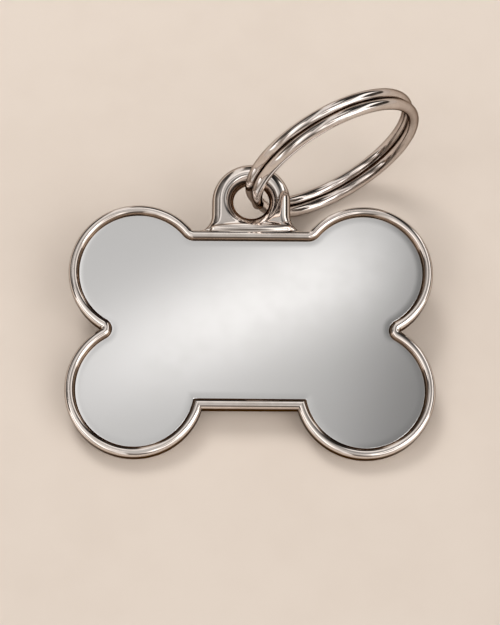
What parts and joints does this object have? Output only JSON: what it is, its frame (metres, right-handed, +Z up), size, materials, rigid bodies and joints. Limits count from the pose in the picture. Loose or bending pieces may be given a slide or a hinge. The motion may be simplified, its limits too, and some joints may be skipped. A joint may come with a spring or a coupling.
{
  "type": "pet id tag",
  "caption": "Bone-shaped metal pet tag with a rounded bead rim, blank satin face plates and an eyelet that carries a split ring.",
  "frame": {"origin": "middle of the footprint, on the surface that the tag's lower lobes and its ring stand on", "axes": "+X across the bone, +Y from the lower bar towards the eyelet, +Z up from that surface"},
  "size_m": [0.0382, 0.0368, 0.02],
  "materials": {
    "polished_nickel": "polished nickel plate on a zinc casting",
    "satin_plate": "satin mirror",
    "adhesive_film": "clear adhesive film",
    "ring_wire": "polished nickel plate on steel wire"
  },
  "bodies": {
    "tag": {"cast_frame": "polished_nickel", "front_plate": "satin_plate", "front_adhesive": "adhesive_film", "back_plate": "satin_plate", "back_adhesive": "adhesive_film"},
    "ring": {"split_ring": "ring_wire"}
  },
  "joints": [
    {"name": "ring_turn", "type": "hinge", "parent": "tag", "child": "ring", "pos_m": [0, 0.00877, 0.00687], "axis": [0, -0.2177, 0.976], "range_deg": [-33, 158]}
  ]
}
